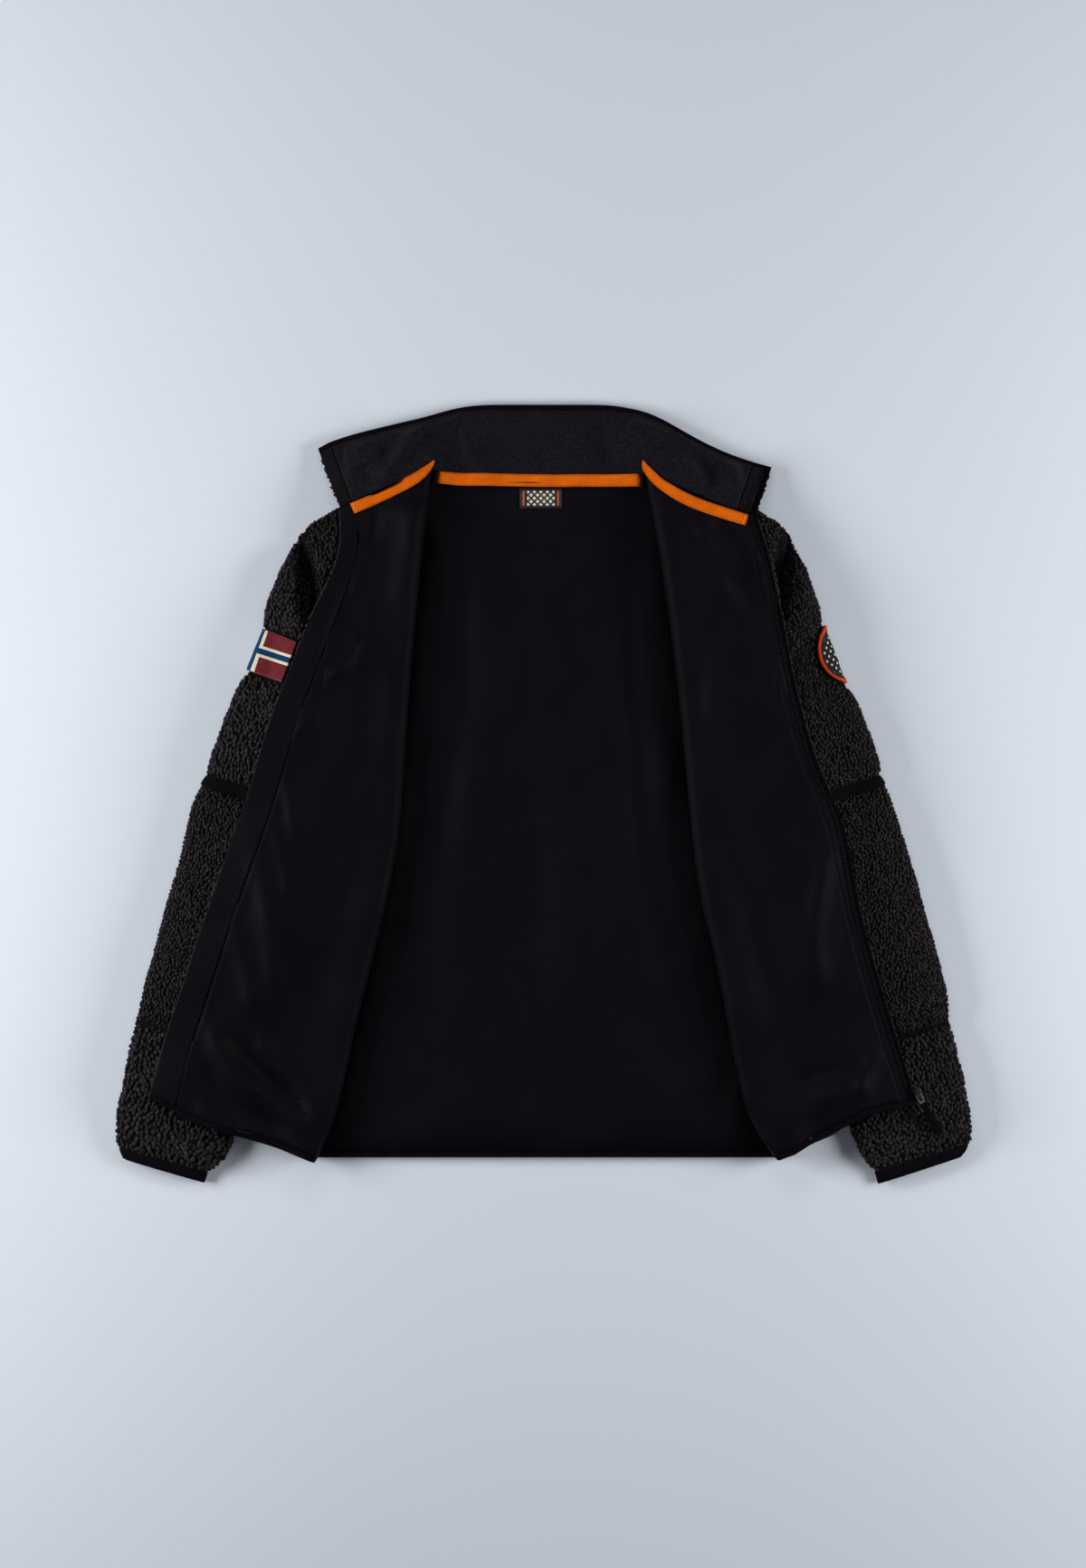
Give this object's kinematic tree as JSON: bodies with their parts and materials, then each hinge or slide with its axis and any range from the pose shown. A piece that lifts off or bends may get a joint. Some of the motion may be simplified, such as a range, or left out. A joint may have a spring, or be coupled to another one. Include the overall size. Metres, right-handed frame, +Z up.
{
  "type": "pile fleece zip jacket laid open",
  "caption": "Stand-collar pile fleece zip jacket lying flat on its back, both fronts folded open over the sleeves to show the smooth lining.",
  "frame": {"origin": "on the floor, under the middle of the whole laid-out jacket", "axes": "+X to the wearer's left, +Y towards the collar, +Z up from the floor"},
  "size_m": [0.875, 0.7938, 0.0447],
  "materials": {
    "pile_fleece": "deep curly pile, matt, near black charcoal",
    "lining": "smooth fine-knit lining with a faint sheen",
    "microfleece": "short brushed microfleece, charcoal",
    "edge_binding": "flat elastic binding, black",
    "elbow_tape": "short pile sunk in the seam, black",
    "zip_tape": "woven zip tape, black",
    "neck_tape": "woven herringbone tape, orange, stitched along both edges",
    "woven_label": "woven label, dark grey with a plain cream and orange pattern",
    "chin_guard": "smooth tricot facing, dark grey",
    "flag_patch": "woven national flag patch",
    "moulded_badge": "soft moulded badge with an orange rim",
    "zip_metal": "gunmetal zip hardware",
    "pull_strap": "moulded strap, dark grey"
  },
  "bodies": {
    "garment": {"back_lining": "lining", "back_shell": "pile_fleece", "chin_guard": "chin_guard", "collar_binding": "edge_binding", "collar_lining": "microfleece", "collar_shell": "pile_fleece", "collar_zip_tape": "zip_tape", "cuff_binding_left": "edge_binding", "cuff_binding_right": "edge_binding", "elbow_band_left": "elbow_tape", "elbow_band_right": "elbow_tape", "flag_patch": "flag_patch", "front_lining_left": "lining", "front_lining_right": "lining", "front_shell_left": "pile_fleece", "front_shell_right": "pile_fleece", "hem_binding_back": "edge_binding", "hem_binding_left": "edge_binding", "hem_binding_right": "edge_binding", "neck_label": "woven_label", "neck_tape_back": "neck_tape", "neck_tape_left": "neck_tape", "neck_tape_right": "neck_tape", "round_badge": "moulded_badge", "sleeve_forearm_left": "pile_fleece", "sleeve_forearm_right": "pile_fleece", "sleeve_lower_left": "pile_fleece", "sleeve_lower_right": "pile_fleece", "sleeve_upper_left": "pile_fleece", "sleeve_upper_right": "pile_fleece", "wind_flap": "lining", "zip_slider": "zip_metal", "zip_tape_left": "zip_tape", "zip_tape_right": "zip_tape"},
    "zip_pull": {"pull_ring": "zip_metal", "pull_strap": "pull_strap"}
  },
  "joints": [
    {"name": "pull_swing", "type": "hinge", "parent": "garment", "child": "zip_pull", "pos_m": [0.3785, -0.30392, 0.0402], "axis": [-0.866, -0.5, 0], "range_deg": [0, 150]}
  ]
}
